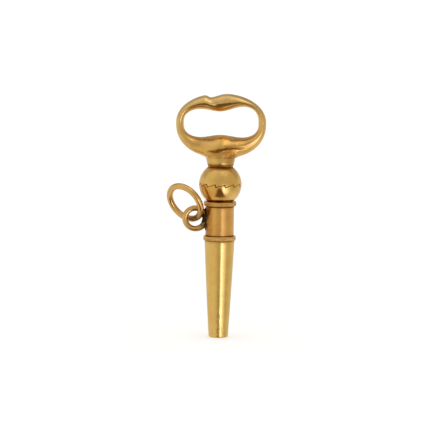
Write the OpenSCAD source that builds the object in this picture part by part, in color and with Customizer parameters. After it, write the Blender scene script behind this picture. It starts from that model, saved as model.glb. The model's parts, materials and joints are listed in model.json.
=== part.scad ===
// Winding key for a pocket watch, worn on a chain.
// A tapered barrel with a square socket carries a swivelling chain loop and a two-part ratchet ball.
// The upper half of the ball carries the hollow bow, clicks over the teeth one way and drives the other.
// Sizes are millimetres. Z runs up the key, -Y is its front.
// The origin is the middle of the socket's mouth.

/* [Barrel] */
// Length of the tapered barrel from its tip to the lower collar
barrel_length = 17.95; // [15:0.05:22]
// Outside diameter of the barrel at its tip
barrel_tip_d = 3.55; // [3.3:0.05:3.9]
// Outside diameter of the barrel under the lower collar
barrel_top_d = 5.5; // [5.2:0.05:5.6]
// Outward swell of the barrel's side halfway up
barrel_swell = 0.05; // [0:0.01:0.1]
// Wall of the gold sheath
barrel_wall = 0.4; // [0.3:0.02:0.5]
// Rounding of the sheath's edge at the tip
tip_round = 0.3; // [0.1:0.02:0.36]

/* [Winding socket] */
// Width of the square hole across its flats
square_w = 1.4; // [1.2:0.05:1.5]
// Depth of the square hole below the tip
square_depth = 6.5; // [5:0.25:8]
// Depth of the round lead-in at the mouth
mouth_depth = 0.7; // [0.4:0.05:1]
// Clearance of the lead-in round the corners of the square
mouth_gap = 0.05; // [0.02:0.01:0.1]
// Length of the steel socket pipe
pipe_length = 10; // [9.5:0.25:12]
// Depth by which the stem enters the top of the pipe
stem_seat = 2.4; // [1.5:0.1:2.8]

/* [Stem and nut] */
// Diameter of the steel stem
stem_d = 1.9; // [1.6:0.05:2]
// Depth of the flat filed on the stem's upper end
stem_flat = 0.28; // [0.15:0.01:0.4]
// Outside diameter of the round stem nut
nut_d = 2.9; // [2.6:0.05:3]
// Height of the stem nut
nut_h = 0.7; // [0.5:0.05:0.8]
// Thickness of the two spring washers
washer_h = 0.28; // [0.2:0.02:0.34]
// Width of the screwdriver slot in the nut
slot_w = 0.3; // [0.2:0.02:0.4]
// Depth of the screwdriver slot in the nut
slot_depth = 0.25; // [0.15:0.01:0.35]

/* [Collars] */
// Height of the milled collars
collar_h = 0.85; // [0.7:0.05:1]
// Outside diameter of the milled collars
collar_d = 6; // [5.8:0.05:6.2]
// Depth of the milled rim on each collar's plate
rim_depth = 0.42; // [0.3:0.02:0.5]
// Beads around each milled rim
rim_beads = 76; // [48:1:80]
// Share of a bead's size that is left in the hollow between two beads
bead_hollow = 0.82; // [0.75:0.01:0.95]
// Length of the plug that holds the lower collar in the barrel
plug_h = 1.2; // [0.8:0.05:2]

/* [Swivel] */
// Distance between the two collars
swivel_length = 5.5; // [5:0.1:7]
// Outside diameter of the swivel sleeve
sleeve_d = 5.2; // [4.9:0.05:5.3]
// Wall of the swivel sleeve
sleeve_wall = 0.5; // [0.35:0.05:0.6]

/* [Chain loop and ring] */
// Outside diameter of the soldered loop
loop_d = 4.85; // [4.6:0.05:5]
// Wire diameter of the soldered loop
loop_wire = 1.04; // [0.9:0.01:1.08]
// Distance of the loop's centre from the key's axis
loop_reach = 4.48; // [4.4:0.02:4.6]
// Height of the loop's centre above the lower collar
loop_rise = 3.1; // [2.7:0.05:3.3]
// Mean diameter of the chain ring
ring_mean_d = 6.96; // [6.4:0.02:7.6]
// Wire diameter of the chain ring
ring_wire = 1.16; // [1:0.02:1.2]
// Angle of the ring's long direction above the right-hand level
ring_lean = 128.5; // [124:0.5:140]
// Turn of the ring about its long direction
ring_turn = 46.8; // [44:0.2:60]
// Offset of the ring's wire from the middle of the loop, towards the sleeve
ring_offset = 0.36; // [0.2:0.02:0.4]
// Offset of the ring's wire from the middle of the loop, towards the front
ring_forward = 0.3; // [0.2:0.02:0.4]

/* [Ball and ratchet] */
// Diameter of the ratchet ball
ball_d = 7.8; // [7.5:0.02:8]
// Wall of the two half shells
ball_wall = 0.6; // [0.45:0.05:0.65]
// Diameter of the flat foot where the ball sits on its collar
ball_foot_d = 4.7; // [4.4:0.05:4.9]
// Number of ratchet teeth
teeth = 14; // [10:1:16]
// Height of the ratchet teeth
tooth_h = 0.5; // [0.36:0.02:0.54]
// Share of a tooth's pitch that its steep side takes
tooth_fall = 0.1; // [0.06:0.01:0.16]
// Gap of the seam between the two toothed rims
seam_gap = 0.08; // [0.06:0.01:0.12]
// Thickness of the floor plate in the upper half
floor_h = 0.6; // [0.45:0.05:0.7]
// Plain band between the teeth and the shell of each half
tooth_band = 0.1; // [0.06:0.01:0.14]
// Step of the teeth inside the ball's surface
tooth_inset = 0.04; // [0.02:0.01:0.08]

/* [Ratchet spring] */
// Wire diameter of the ratchet spring
spring_wire = 0.2; // [0.16:0.01:0.22]
// Outside diameter of the ratchet spring
spring_d = 2.9; // [2.8:0.02:3]
// Turns of the ratchet spring
spring_turns = 4.5; // [4:0.25:5]
// Fitted length of the ratchet spring
spring_l = 1.95; // [1.9:0.01:2.1]

/* [Neck] */
// Height of the neck from the ball to the bow
neck_h = 1.67; // [1.65:0.02:2.2]
// Diameter of the neck where it stands on the ball
neck_low_d = 4.6; // [4.5:0.02:4.8]
// Diameter of the neck under the bow
neck_top_d = 5.35; // [5.1:0.05:5.6]
// Bore of the neck around the nut and the spring
neck_bore_d = 3.4; // [3.3:0.02:3.5]
// Thickness of the cap that closes the neck
neck_cap_h = 0.32; // [0.25:0.01:0.36]

/* [Bow] */
// Outside width of the bow
bow_w = 16.5; // [16:0.05:18]
// Rise of the bow above its centre
bow_up = 5.34; // [5.2:0.02:6]
// Drop of the bow below its centre, without its foot
bow_down = 6.46; // [6.3:0.02:6.5]
// Share by which the right of the bottom bar hangs lower than its middle
bow_skew = 0.008; // [0:0.002:0.02]
// Drop from the bow's centre to its foot on the neck
bow_foot = 6.5; // [6.5:0.02:6.8]
// Width of the finger gap
gap_w = 13.64; // [13:0.02:14]
// Rise of the finger gap above the centre, without the pinch
gap_up = 3.32; // [3.2:0.02:3.4]
// Share by which the right half of the gap rises more than the left
gap_tilt = 0.14; // [0:0.02:0.2]
// Drop of the finger gap below the centre, without the pinch
gap_down = 3.2; // [3.1:0.02:3.3]
// Depth of the pinch in the finger gap's top edge
pinch_up = 1.3; // [0.9:0.02:1.4]
// Depth of the pinch in the finger gap's bottom edge
pinch_down = 0.94; // [0.6:0.02:1]
// Half width of the pinch
pinch_w = 3.4; // [2.6:0.05:3.8]
// Depth of the dip in the bow's top edge
dip_depth = 0.62; // [0:0.02:0.7]
// Position of the dip beside the axis
dip_x = -1.85; // [-2.2:0.05:0]
// Half width of the dip on its left
dip_left = 0.75; // [0.6:0.05:1.2]
// Half width of the dip on its right
dip_right = 1.85; // [1.2:0.05:2.2]
// Depth of the bow at its sides, front to back
bow_side_depth = 2.1; // [1.9:0.05:2.6]
// Depth of the bow's top bar, front to back
bow_bar_depth = 3; // [2.6:0.05:3.4]
// Depth of the bottom bar over the neck, front to back
bow_nose_depth = 6; // [5.7:0.05:6.2]
// Half width of the bottom bar's bulge
nose_run = 3.4; // [2.8:0.1:4]
// Height of the crease under the bulge over the foot
crease_rise = 1.82; // [1.7:0.02:1.9]
// Rise of the crease towards the right, per millimetre
crease_slope = 0.22; // [0:0.02:0.26]
// Depth of the crease
crease_depth = 0.13; // [0:0.01:0.16]
// Flare of the foot's wall in front, per millimetre of height
foot_taper = 0.09; // [0:0.01:0.12]
// Share by which the foot spreads sideways up to the crease
foot_spread = 0.35; // [0.2:0.05:0.5]
// Fillet between the foot and the bottom bar
foot_fillet = 0.8; // [0.4:0.05:1]
// Wall of the two pressed halves
bow_wall = 0.36; // [0.26:0.02:0.42]
// Share of the depth lost where the top bar is pinched
pinch_hollow = 0.12; // [0:0.01:0.2]
// Flare of the foot along the bottom bar
foot_flare = 0.3; // [0.2:0.01:0.4]

/* [Fits] */
// Radial clearance of the running fits
run_gap = 0.04; // [0.02:0.005:0.06]
// End clearance of the swivel sleeve
end_gap = 0.06; // [0.04:0.01:0.1]
// Joint left for solder between fixed pieces
solder = 0.02; // [0.01:0.005:0.03]

/* [Hidden] */
$fn = 96;

// Overrun of the cuts
cut = 1;

// Powers that square the corners of the bow's outline and spread its depth
outer_top_power = 0.97;
outer_bottom_power = 0.865;
gap_top_power = 0.76;
gap_bottom_power = 0.7;
depth_power = 1.5;

// How far the sections leave the ellipse at the top bar and on the bottom bar's upper face
top_bend = 0.46;
top_ridge = 0.3;
face_bend = 0.8;
face_ridge = 0.92;

// Half width of the top bar's hollow, its end at the gap, run of the foot's flare, width of the crease
hollow_w = 1.3;
hollow_end = 0.3;
flare_run = 0.45;
crease_w = 0.22;

// Heights over the foot between which it spreads and its fillet dies out, and the fillet's limits
spread_span = [0.15, 1];
fillet_span = [0.5, 1.5];
fillet_share = 0.7;
crease_fillet = 0.1;

// Where the crease begins on the left, is full, levels out, starts to die out on the right and ends
crease_from = -3;
crease_full = -1.2;
crease_level = 0.6;
crease_fades = 3.2;
crease_to = 5.2;
crease_least = 0.12;

// Run beside the neck over which the bar's section takes over, and the wall's greatest share of depth
foot_run = 1.2;
wall_share = 0.85;

// Turns of a section: along the flat foot, up its wall to the crease, and out to the nose
turn_foot = 30;
turn_crease = 66;
turn_nose = 90;
section_turns = [0, turn_foot, 48, turn_crease, 78, turn_nose, 112, 135, 158, 180];

// Levels up the key
z_low_collar = barrel_length;
z_swivel = z_low_collar + collar_h;
z_up_collar = z_swivel + swivel_length;
z_ball_foot = z_up_collar + collar_h;
ball_r = ball_d / 2;
ball_in_r = ball_r - ball_wall;
z_ball = z_ball_foot + sqrt(ball_r * ball_r - ball_foot_d * ball_foot_d / 4);
neck_edge = 0.1;
neck_seat_r = neck_low_d / 2 - neck_edge / 2;
z_neck = z_ball + sqrt(ball_r * ball_r - neck_seat_r * neck_seat_r);
z_foot = z_neck + neck_h;
z_bow = z_foot + bow_foot;
z_floor = z_ball + tooth_h / 2 + seam_gap + tooth_band;
z_washer = z_floor + floor_h + solder;
z_spring = z_washer + washer_h + solder;
z_top_washer = z_spring + spring_l + solder;
z_nut = z_top_washer + washer_h + solder;
z_stem_top = z_nut + nut_h;

// Radii
stem_r = stem_d / 2;
square_corner_r = square_w / sqrt(2);
mouth_r = square_corner_r + mouth_gap;
plate_r = collar_d / 2 - rim_depth;
sleeve_r = sleeve_d / 2;
sleeve_in_r = sleeve_r - sleeve_wall;
bush_r = sleeve_in_r - run_gap;
plug_r = barrel_r(barrel_length - plug_h) - barrel_wall - solder;
tooth_pitch = 360 / teeth;
seam_start = -101.5;
click = tooth_pitch * (1 - tooth_fall);
z_loop = z_swivel + loop_rise;
loop_mean_r = (loop_d - loop_wire) / 2;

// Steps of the wound, toothed and pressed forms
ramp_steps = 4;
rim_steps = 2 * rim_beads;
rim_sides = 6;
bow_steps = 84;
spring_sides = 8;
spring_steps_a_turn = 20;

echo(finger_gap = gap_up - pinch_up + gap_down - pinch_down);
echo(overall = z_bow + bow_up);
echo(click_deg = click, lift_per_rad = tooth_h / (click * PI / 180));

function barrel_r(z) =
    barrel_tip_d / 2 + (barrel_top_d - barrel_tip_d) / 2 * z / barrel_length
    + barrel_swell * 4 * z / barrel_length * (1 - z / barrel_length);
function spow(v, e) = sign(v) * pow(abs(v), e);
function bell(x, w) = exp(-x * x / (w * w));
function smooth(v) =
    let (u = min(1, max(0, v)))
    u * u * (3 - 2 * u);
function levels(a, b, n) = [for (i = [0 : n]) a + (b - a) * i / n];

// Closed skin of a tube whose rings of points follow each other round a loop
function ring_faces(rings, sides) = [
    for (i = [0 : rings - 1])
        for (j = [0 : sides - 1])
            let (a = i * sides + j)
            let (b = i * sides + (j + 1) % sides)
            let (c = ((i + 1) % rings) * sides + (j + 1) % sides)
            let (d = ((i + 1) % rings) * sides + j)
            each [[a, b, c], [a, c, d]]
];

// Skin of a tube with two flat ends
function rod_faces(rings, sides) = concat(
    [[for (j = [0 : sides - 1]) j]],
    [
        for (i = [0 : rings - 2])
            for (j = [0 : sides - 1])
                let (a = i * sides + j)
                let (b = i * sides + (j + 1) % sides)
                let (c = (i + 1) * sides + (j + 1) % sides)
                let (d = (i + 1) * sides + j)
                each [[a, d, c], [a, c, b]]
    ],
    [[for (j = [sides - 1 : -1 : 0]) (rings - 1) * sides + j]]
);

// Seam of the ratchet: rises gently with the angle over each tooth, then falls steeply
function seam_angle(i) =
    floor(i / (ramp_steps + 1)) * tooth_pitch
    + (i % (ramp_steps + 1)) / ramp_steps * click;
function seam_level(i) = z_ball - tooth_h / 2 + (i % (ramp_steps + 1)) / ramp_steps * tooth_h;

// Ring of teeth between two radii, from a flat level to the seam
module tooth_ring(r_in, r_out, flat_z, shift) {
    stations = teeth * (ramp_steps + 1);
    points = [
        for (i = [0 : stations - 1])
            let (u = seam_angle(i) + seam_start)
            let (low = min(flat_z, seam_level(i) + shift))
            let (high = max(flat_z, seam_level(i) + shift))
            each [
                [r_in * cos(u), r_in * sin(u), low],
                [r_out * cos(u), r_out * sin(u), low],
                [r_out * cos(u), r_out * sin(u), high],
                [r_in * cos(u), r_in * sin(u), high]
            ]
    ];
    polyhedron(points, ring_faces(stations, 4), convexity = 10);
}

// Beaded wire rim, with a crest and a hollow for each bead
module milled_rim(z) {
    wire_r = rim_depth / 2;
    mid_r = collar_d / 2 - wire_r;
    points = [
        for (i = [0 : rim_steps - 1])
            let (u = 360 * i / rim_steps)
            let (s = i % 2 == 0 ? 1 : bead_hollow)
            for (j = [0 : rim_sides - 1])
                let (v = 360 * j / rim_sides)
                let (r = mid_r + (cos(v) > 0 ? wire_r * s : wire_r - solder) * cos(v))
                [r * cos(u), r * sin(u), z + collar_h / 2 * s * sin(v) / sin(360 / rim_sides)]
    ];
    polyhedron(points, ring_faces(rim_steps, rim_sides), convexity = 6);
}

// Outer and inner outline of the bow at the turn t, seen from the front
function bow_flare(x) = foot_flare * min(1, exp((neck_top_d / 2 - abs(x)) / flare_run));
function bow_dip(x) = dip_depth * bell(x - dip_x, x < dip_x ? dip_left : dip_right);
function bow_outer(t) =
    let (power = sin(t) > 0 ? outer_top_power : outer_bottom_power)
    let (x = bow_w / 2 * spow(cos(t), power))
    let (z = spow(sin(t), power))
    let (down = bow_down * (1 + bow_skew * x / nose_run))
    [x, z > 0 ? bow_up * z - bow_dip(x) : max(down * z - bow_flare(x), -bow_foot)];
function bow_inner(t) =
    let (power = sin(t) > 0 ? gap_top_power : gap_bottom_power)
    let (x = gap_w / 2 * spow(cos(t), power))
    let (z = spow(sin(t), power))
    let (pinch = bell(x, pinch_w))
    let (rise = gap_up * (1 + gap_tilt * 2 * x / gap_w))
    [x, z > 0 ? rise * z - pinch_up * pinch : gap_down * z + pinch_down * pinch];

// Half depth of the bow, which bulges over the neck
function bow_depth(t, x) =
    let (bar = bow_side_depth + (bow_bar_depth - bow_side_depth) * pow(abs(sin(t)), depth_power))
    let (bulge = sin(t) < 0 ? (bow_nose_depth - bow_bar_depth) * bell(x, nose_run) * abs(sin(t)) : 0)
    (bar + bulge) / 2;

// Powers of a section's outer or inner half: an ellipse at the sides, a ridge at the bars
function section_form(t, outward) =
    let (bar = abs(sin(t)))
    sin(t) > 0
        ? [2 - top_bend * bar, (1 + top_ridge * bar) / 2]
        : outward
            ? [2, 0.5]
            : [2 - face_bend * bar, (1 + face_ridge * bar) / 2];

// Half depth of the round foot that spreads from the neck, and the bar's depth filleted onto it
function between(v, ends) = smooth((v - ends[0]) / (ends[1] - ends[0]));
function foot_depth(x, rise) =
    let (front = neck_top_d / 2 + foot_taper * rise)
    let (reach = front * (1 + foot_spread * between(rise, spread_span)))
    front * sqrt(max(0, 1 - x * x / (reach * reach)));
function on_foot(deep, foot, rise) =
    let (round = crease_fillet + foot_fillet * (1 - between(rise, fillet_span)))
    let (fillet = min(round, solder + fillet_share * (deep + foot)))
    let (near = max(0, 1 - abs(deep - foot) / fillet))
    max(deep, foot) + fillet * near * near / 4;

// Height of the crease over the foot and its share of the full depth, at the distance x to the right
function crease_line(x) = crease_rise + crease_slope * min(x, crease_level);
function crease_share(x) =
    between(x, [crease_from, crease_full]) * (1 - between(x, [crease_fades, crease_to]));

// Distance from a section's middle at the turn v over the neck: flat foot, its wall, the bulge's underside
function foot_along(h, crease, v) =
    v <= turn_foot
        ? h
        : v <= turn_crease
            ? h + (crease - h) * (v - turn_foot) / (turn_crease - turn_foot)
            : crease * (turn_nose - v) / (turn_nose - turn_crease);

// Half depth of the bow at the distance a outward from a section's middle
function half_depth(t, mid, dir, h, d, side, a) =
    let (form = section_form(t, a > 0))
    let (plain = d * pow(max(0, 1 - pow(abs(a) / h, form[0])), form[1]))
    let (x = mid[0] + dir[0] * a)
    let (rise = mid[1] + dir[1] * a + bow_foot)
    let (pinch = bell(x - (dip_x * (1 + a / h) + hollow_end * (1 - a / h)) / 2, hollow_w))
    let (dent = crease_share(-side * x) * bell(rise - crease_line(-side * x), crease_w))
    sin(t) > 0
        ? plain * (1 - pinch_hollow * pinch)
        : a > 0 && abs(x) < bow_w / 3
            ? on_foot(plain, foot_depth(x, rise), rise) - crease_depth * dent
            : plain;

// One pressed half of the bow, a channel open towards the joint; side is -1 in front and 1 behind
module bow_half(side) {
    sides = len(section_turns);
    points = [
        for (i = [0 : bow_steps - 1])
            let (t = 360 * (i + 0.5) / bow_steps)
            let (o = bow_outer(t))
            let (n = bow_inner(t))
            let (mid = (o + n) / 2)
            let (h = norm(o - n) / 2)
            let (dir = (o - n) / norm(o - n))
            let (d = bow_depth(t, mid[0]))
            let (stands = sin(t) < 0 ? 1 - smooth((abs(o[0]) - neck_top_d / 2) / foot_run) : 0)
            let (crease = max(crease_least * h, mid[1] + bow_foot - crease_line(-side * mid[0])))
            for (k = [0 : 2 * sides - 1])
                let (outside = k < sides)
                let (v = section_turns[outside ? k : 2 * sides - 1 - k])
                let (oval = h * spow(cos(v), 2 / section_form(t, v < turn_nose)[0]))
                let (a = v < turn_nose ? oval + stands * (foot_along(h, crease, v) - oval) : oval)
                let (full = half_depth(t, mid, dir, h, d, side, a))
                let (deep = stands == 1 && v < turn_foot ? 0 : full)
                let (along = outside ? a : a * (1 - bow_wall / h))
                let (y = outside ? deep : max(deep - bow_wall, deep * (1 - wall_share)))
                [mid[0] + dir[0] * along, side * (solder / 2 + y), z_bow + mid[1] + dir[1] * along]
    ];
    faces = ring_faces(bow_steps, 2 * sides);
    polyhedron(points, side > 0 ? faces : [for (f = faces) [f[0], f[2], f[1]]], convexity = 10);
}

module bow_front_half() {
    color("gold") bow_half(-1);
}

module bow_back_half() {
    color("goldenrod") bow_half(1);
}

// Short hollow neck that flares towards the bow, closed by its cap on top
module neck() {
    low_r = neck_low_d / 2;
    top_r = neck_top_d / 2;
    flare = top_r - low_r;
    z_low = z_neck + 2 * neck_edge;
    z_high = z_foot - solder;
    rise = z_high - z_low;
    color("gold")
        rotate_extrude()
            polygon(concat(
                [[neck_bore_d / 2, z_neck + solder]],
                [[neck_seat_r, z_neck + solder]],
                [for (u = levels(0, 1, 8)) [low_r + flare * u * (3 - u) / 2, z_low + u * rise]],
                [[neck_bore_d / 2, z_high]]
            ));
}

module neck_cap() {
    color("goldenrod")
        translate([0, 0, z_foot - solder - neck_cap_h])
            cylinder(h = neck_cap_h, r = neck_bore_d / 2 - solder);
}

// Ring section of the ball between two levels
module ball_section(low, high, bore) {
    intersection() {
        difference() {
            circle(r = ball_r);
            circle(r = ball_in_r);
        }
        translate([bore, low - z_ball])
            square([ball_r, high - low]);
    }
}

module upper_ball_half() {
    rim = z_ball + tooth_h / 2 + seam_gap / 2 + tooth_band;
    color("gold") {
        translate([0, 0, z_ball])
            rotate_extrude()
                ball_section(rim, z_neck, neck_bore_d / 2);
        tooth_ring(ball_in_r + tooth_inset, ball_r - tooth_inset, rim + tooth_band, seam_gap / 2);
    }
}

module floor_plate() {
    top_r = sqrt(ball_in_r * ball_in_r - pow(z_floor + floor_h - z_ball, 2)) - solder;
    color("goldenrod")
        translate([0, 0, z_floor])
            difference() {
                cylinder(h = floor_h, r = top_r);
                translate([0, 0, -cut])
                    cylinder(h = floor_h + 2 * cut, r = stem_r + run_gap);
            }
}

// Round hole with one flat, wider than the stem by the running clearance
module keyed_hole(h) {
    difference() {
        cylinder(h = h, r = stem_r + run_gap);
        translate([stem_r - stem_flat + run_gap, -stem_d, -cut])
            cube([stem_d, 2 * stem_d, h + 2 * cut]);
    }
}

module keyed_washer() {
    color("silver")
        translate([0, 0, z_washer])
            difference() {
                cylinder(h = washer_h, r = nut_d / 2);
                translate([0, 0, -cut])
                    keyed_hole(washer_h + 2 * cut);
            }
}

// One unbroken wound wire with plain ends
module ratchet_spring() {
    wire_r = spring_wire / 2;
    coil_r = spring_d / 2 - wire_r;
    rings = floor(spring_turns * spring_steps_a_turn) + 1;
    rise = spring_l - spring_wire - 2 * solder;
    points = [
        for (i = [0 : rings - 1])
            let (u = 360 * i / spring_steps_a_turn)
            let (z = z_spring + solder + wire_r + rise * i / (rings - 1))
            for (j = [0 : spring_sides - 1])
                let (v = 360 * j / spring_sides)
                let (r = coil_r + wire_r * cos(v))
                [r * cos(u), r * sin(u), z + wire_r * sin(v)]
    ];
    echo(spring_coil_gap = rise / spring_turns - spring_wire);
    color("silver") polyhedron(points, rod_faces(rings, spring_sides), convexity = 10);
}

module top_washer() {
    color("silver")
        translate([0, 0, z_top_washer])
            difference() {
                cylinder(h = washer_h, r = nut_d / 2);
                translate([0, 0, -cut])
                    cylinder(h = washer_h + 2 * cut, r = stem_r + solder);
            }
}

module stem_nut() {
    color("silver")
        difference() {
            translate([0, 0, z_nut])
                cylinder(h = nut_h, r = nut_d / 2);
            translate([0, 0, z_nut - cut])
                cylinder(h = nut_h + 2 * cut, r = stem_r + solder);
            translate([-nut_d, -slot_w / 2, z_nut + nut_h - slot_depth])
                cube([2 * nut_d, slot_w, slot_depth + cut]);
        }
}

// Round arbor from the socket pipe to the nut, with a flat along its upper end
module stem() {
    z_low = pipe_length - stem_seat + solder;
    color("silver")
        difference() {
            translate([0, 0, z_low])
                cylinder(h = z_stem_top - z_low, r = stem_r);
            translate([stem_r - stem_flat, -stem_d, z_washer - solder / 2])
                cube([stem_d, 2 * stem_d, z_stem_top]);
        }
}

module lower_ball_half() {
    rim = z_ball - tooth_h / 2 - seam_gap / 2 - tooth_band;
    bore = stem_r + solder;
    color("gold") {
        translate([0, 0, z_ball])
            rotate_extrude()
                union() {
                    ball_section(z_ball_foot + solder, rim, bore);
                    translate([bore, z_ball_foot + solder - z_ball])
                        square([(ball_foot_d - ball_wall) / 2 - bore, ball_wall]);
                }
        tooth_ring(ball_in_r + tooth_inset, ball_r - tooth_inset, rim - tooth_band, -seam_gap / 2);
    }
}

// Plate that fills a milled rim
module collar_plate(z, bore) {
    translate([0, 0, z])
        difference() {
            cylinder(h = collar_h, r = plate_r);
            translate([0, 0, -cut])
                cylinder(h = collar_h + 2 * cut, r = bore);
        }
}

module upper_collar_plate() {
    color("goldenrod") collar_plate(z_up_collar, stem_r + solder);
}

module upper_milled_rim() {
    color("gold") milled_rim(z_up_collar + collar_h / 2);
}

module swivel_bush() {
    color("goldenrod")
        translate([0, 0, z_swivel + solder])
            difference() {
                cylinder(h = swivel_length - 2 * solder, r = bush_r);
                translate([0, 0, -cut])
                    cylinder(h = swivel_length + 2 * cut, r = stem_r + solder);
            }
}

module swivel_sleeve() {
    color("orange")
        translate([0, 0, z_swivel + end_gap])
            difference() {
                cylinder(h = swivel_length - 2 * end_gap, r = sleeve_r);
                translate([0, 0, -cut])
                    cylinder(h = swivel_length + 2 * cut, r = sleeve_in_r);
            }
}

// Wire loop that is filed hollow where it is soldered to the sleeve
module chain_loop() {
    color("gold")
        difference() {
            translate([-loop_reach, 0, z_loop])
                rotate([90, 0, 0])
                    rotate_extrude()
                        translate([loop_mean_r, 0])
                            circle(d = loop_wire, $fn = 48);
            translate([0, 0, z_swivel])
                cylinder(h = swivel_length, r = sleeve_r + solder);
        }
}

module chain_ring() {
    color("gold")
        translate([-loop_reach, 0, z_loop])
            rotate([0, -ring_lean, 0])
                translate([0, -ring_forward, -ring_offset])
                    rotate([-ring_turn, 0, 0])
                        translate([ring_mean_d / 2, 0, 0])
                            rotate([90, 0, 0])
                                rotate_extrude()
                                    translate([ring_mean_d / 2, 0])
                                        circle(d = ring_wire, $fn = 48);
}

module lower_collar_plate() {
    color("goldenrod") {
        collar_plate(z_low_collar + solder, stem_r + solder);
        translate([0, 0, z_low_collar - plug_h])
            difference() {
                cylinder(h = plug_h + collar_h / 2, r = plug_r);
                translate([0, 0, -cut])
                    cylinder(h = plug_h + collar_h + 2 * cut, r = stem_r + solder);
            }
    }
}

module lower_milled_rim() {
    color("gold") milled_rim(z_low_collar + collar_h / 2);
}

// Tapered gold tube with a rounded edge at the tip
module barrel_sheath() {
    tip_r = barrel_r(0);
    color("gold")
        rotate_extrude()
            polygon(concat(
                [[tip_r - barrel_wall, 0]],
                [for (u = levels(0, 75, 4)) [tip_r - tip_round * (1 - sin(u)), tip_round * (1 - cos(u))]],
                [for (z = levels(tip_round, barrel_length, 6)) [barrel_r(z), z]],
                [for (z = levels(barrel_length, tip_round, 6)) [barrel_r(z) - barrel_wall, z]]
            ));
}

// Steel pipe with the square hole, its round lead-in and the seat of the stem
module socket_pipe() {
    color("silver")
        difference() {
            rotate_extrude()
                polygon(concat(
                    [[0, 0]],
                    [for (z = levels(0, pipe_length, 4)) [barrel_r(z) - barrel_wall - 2 * solder, z]],
                    [[0, pipe_length]]
                ));
            translate([-square_w / 2, -square_w / 2, -cut])
                cube([square_w, square_w, square_depth + cut]);
            translate([0, 0, -cut])
                cylinder(h = mouth_depth + cut, r = mouth_r);
            translate([0, 0, pipe_length - stem_seat])
                cylinder(h = stem_seat + cut, r = stem_r + solder);
        }
}

bow_front_half();
bow_back_half();
neck();
neck_cap();
upper_ball_half();
floor_plate();
keyed_washer();
ratchet_spring();
top_washer();
stem_nut();
stem();
lower_ball_half();
upper_collar_plate();
upper_milled_rim();
swivel_bush();
swivel_sleeve();
chain_loop();
chain_ring();
lower_collar_plate();
lower_milled_rim();
barrel_sheath();
socket_pipe();
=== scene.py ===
import json
import math

import bmesh
import bpy
from mathutils import Matrix, Quaternion, Vector, noise


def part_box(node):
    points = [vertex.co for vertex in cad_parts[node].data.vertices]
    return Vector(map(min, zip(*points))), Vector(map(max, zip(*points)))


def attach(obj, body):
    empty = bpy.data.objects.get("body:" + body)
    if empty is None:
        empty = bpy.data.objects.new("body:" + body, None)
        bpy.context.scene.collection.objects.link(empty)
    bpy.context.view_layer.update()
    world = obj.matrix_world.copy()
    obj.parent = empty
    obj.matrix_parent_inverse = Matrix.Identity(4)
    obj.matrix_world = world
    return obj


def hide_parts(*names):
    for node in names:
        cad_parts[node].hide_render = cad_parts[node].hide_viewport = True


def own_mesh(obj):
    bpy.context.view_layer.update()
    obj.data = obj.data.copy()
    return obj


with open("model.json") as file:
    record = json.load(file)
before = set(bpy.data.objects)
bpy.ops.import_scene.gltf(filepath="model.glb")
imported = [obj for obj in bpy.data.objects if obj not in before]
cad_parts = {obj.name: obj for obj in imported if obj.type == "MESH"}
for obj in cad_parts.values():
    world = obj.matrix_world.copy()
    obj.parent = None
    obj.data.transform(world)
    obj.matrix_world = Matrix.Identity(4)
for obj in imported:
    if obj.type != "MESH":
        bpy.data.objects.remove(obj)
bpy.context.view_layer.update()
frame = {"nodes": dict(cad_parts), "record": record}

MM = 0.001
TAU = 2 * math.pi

# Sizes in millimetres and angles in degrees. Most are the part's own. The crease, the neck's front and
# the bottom bar's edge, ridge and swelling are finer here than in its source.

# Barrel, and the milled rims on its collars
BARREL_L, BARREL_TIP_R, BARREL_TOP_R = 17.95, 1.775, 2.75
BARREL_SWELL, BARREL_WALL, TIP_ROUND = 0.05, 0.4, 0.3
COLLAR_H, COLLAR_R = 0.85, 3.0
RIM_DEPTH, RIM_BEADS = 0.42, 76

# Swivel sleeve, its loop and the ring in the loop
SWIVEL_L, SLEEVE_R, SLEEVE_WALL, SLEEVE_EASE, END_GAP = 5.5, 2.6, 0.5, 0.11, 0.06
LOOP_R, LOOP_WIRE_R, LOOP_REACH, LOOP_RISE = 1.905, 0.52, 4.48, 3.1
SOLDER_H, SOLDER_THICK, PAD_CLEAR, PAD_EDGE, LOOP_CLEAR = 4.4, 0.4, 0.003, 0.006, 0.012
RING_R, RING_WIRE_R = 3.48, 0.58
RING_LEAN, RING_TURN, RING_OFFSET, RING_DEPTH = 128.5, 46.8, 0.36, -0.3

# Ratchet ball and its seam
BALL_R, BALL_WALL, BALL_FOOT_R, STEM_BORE_R = 3.9, 0.6, 2.35, 0.97
TEETH, TOOTH_H, TOOTH_FALL = 14, 0.5, 0.1
SEAM_GAP, SEAM_START, SEAM_SHIFT, SEAM_EASE, SEAM_PLAIN = 0.08, -101.5, 0.75, 0.05, 0.08

# Neck
NECK_H, NECK_LOW_R, NECK_TOP_R, NECK_BORE_R = 1.67, 2.3, 2.675, 1.7
NECK_FRONT, NECK_ROUND, NECK_EDGE = 2.5, 1.3, 0.1
NECK_BREAK, NECK_LEAN = 0.55, 0.13

# Bow: outline, opening, how square their ends are, and the dip and the pinch of the bars
BOW_W, BOW_UP, BOW_DOWN, BOW_FOOT, BOW_SKEW = 16.5, 5.34, 6.46, 6.5, 0.008
FLARE, FLARE_RUN = 0.3, 0.45
GAP_W, GAP_UP, GAP_DOWN, GAP_TILT = 13.64, 3.32, 3.2, 0.14
BOW_UP_END, BOW_DOWN_END, GAP_UP_END, GAP_DOWN_END = 0.97, 0.865, 0.76, 0.7
PINCH_UP, PINCH_DOWN, PINCH_W = 1.3, 0.94, 3.4
DIP, DIP_X, DIP_LEFT, DIP_RIGHT = 0.62, -1.85, 0.75, 1.85

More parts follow.
